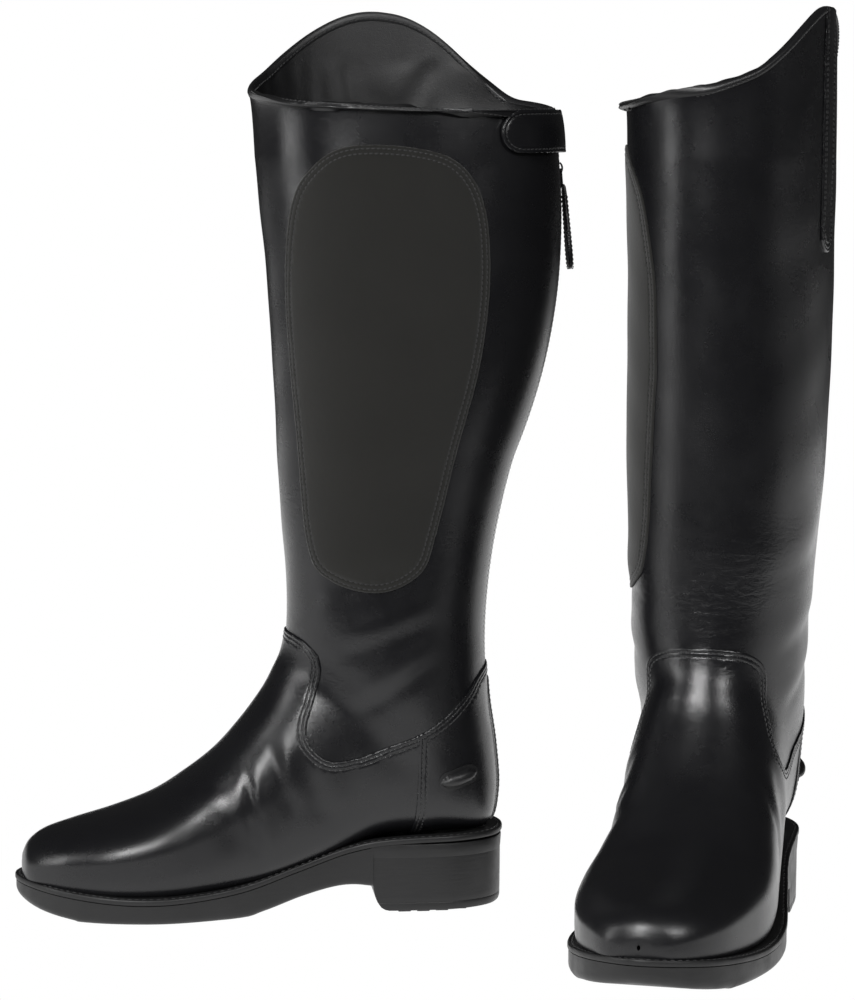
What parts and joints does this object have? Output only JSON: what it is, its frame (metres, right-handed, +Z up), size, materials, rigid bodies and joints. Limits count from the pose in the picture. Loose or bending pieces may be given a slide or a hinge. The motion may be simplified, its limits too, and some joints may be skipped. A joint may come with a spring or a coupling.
{
  "type": "tall riding boots",
  "caption": "Tall black leather riding boots with rear zip, snap tab, suede inner-calf grip panels, raised outer top line, spur rests and welted rubber soles.",
  "frame": {"origin": "middle of the pair's box, on the ground", "axes": "+Z up; the right boot's toe points to -X, turned 5.5 degrees towards -Y, and the left boot's toe to -Y, turned 15.5 degrees towards -X"},
  "size_m": [0.478, 0.3172, 0.5218],
  "materials": {
    "leather": "smooth polished black leather",
    "lining": "soft wrinkled lining leather",
    "suede": "matte dark grey suede",
    "rubber": "satin moulded rubber",
    "zip": "black woven tape with moulded coil",
    "metal": "black nickel",
    "board": "plain fibre board"
  },
  "bodies": {
    "right_boot": {"right_outsole": "rubber", "right_heel_block": "rubber", "right_heel_cap": "rubber", "right_welt": "rubber", "right_insole": "board", "right_shank": "metal", "right_toe_puff": "board", "right_heel_stiffener": "board", "right_vamp": "leather", "right_counter": "leather", "right_backstrap": "leather", "right_spur_rest_inner": "leather", "right_spur_rest_outer": "leather", "right_shaft": "leather", "right_shaft_lining": "lining", "right_grip_panel": "suede", "right_top_binding": "leather", "right_swagger_tab": "leather", "right_zip_half_inner": "zip", "right_zip_half_outer": "zip", "right_zip_guard": "leather", "right_zip_stop": "metal", "right_snap_anchor": "leather", "right_snap_stud": "metal"},
    "right_slider": {"right_zip_slider": "metal"},
    "right_puller": {"right_zip_link": "metal", "right_zip_tag": "leather"},
    "right_snap_tab": {"right_snap_tab": "leather", "right_snap_socket": "metal"},
    "left_boot": {"left_outsole": "rubber", "left_heel_block": "rubber", "left_heel_cap": "rubber", "left_welt": "rubber", "left_insole": "board", "left_shank": "metal", "left_toe_puff": "board", "left_heel_stiffener": "board", "left_vamp": "leather", "left_counter": "leather", "left_backstrap": "leather", "left_spur_rest_inner": "leather", "left_spur_rest_outer": "leather", "left_shaft": "leather", "left_shaft_lining": "lining", "left_grip_panel": "suede", "left_top_binding": "leather", "left_swagger_tab": "leather", "left_zip_half_inner": "zip", "left_zip_half_outer": "zip", "left_zip_guard": "leather", "left_zip_stop": "metal", "left_snap_anchor": "leather", "left_snap_stud": "metal"},
    "left_slider": {"left_zip_slider": "metal"},
    "left_puller": {"left_zip_link": "metal", "left_zip_tag": "leather"},
    "left_snap_tab": {"left_snap_tab": "leather", "left_snap_socket": "metal"}
  },
  "joints": [
    {"name": "right_zip_travel", "type": "hinge", "parent": "right_boot", "child": "right_slider", "pos_m": [-0.26892, 0.0579, 0.4], "axis": [-0.0958, 0.9954, 0], "range_deg": [0, 22]},
    {"name": "right_puller_swing", "type": "hinge", "parent": "right_slider", "child": "right_puller", "pos_m": [0.07924, 0.09143, 0.43], "axis": [0.0958, -0.9954, 0], "range_deg": [0, 40]},
    {"name": "right_snap_open", "type": "hinge", "parent": "right_boot", "child": "right_snap_tab", "pos_m": [0.08106, 0.0916, 0.452], "axis": [0, 0, 1], "range_deg": [0, 45]},
    {"name": "left_zip_travel", "type": "hinge", "parent": "left_boot", "child": "left_slider", "pos_m": [0.10745, -0.18645, 0.4], "axis": [-0.9636, 0.2672, 0], "range_deg": [0, 22]},
    {"name": "left_puller_swing", "type": "hinge", "parent": "left_slider", "child": "left_puller", "pos_m": [0.20092, 0.1506, 0.43], "axis": [0.9636, -0.2672, 0], "range_deg": [0, 90]},
    {"name": "left_snap_open", "type": "hinge", "parent": "left_boot", "child": "left_snap_tab", "pos_m": [0.20141, 0.15236, 0.452], "axis": [0, 0, -1], "range_deg": [0, 100]},
    {"name": "left_boot_lift", "type": "slide", "parent": "right_boot", "child": "left_boot", "axis": [0, 0, 1], "range_m": [0, 0.3]}
  ]
}
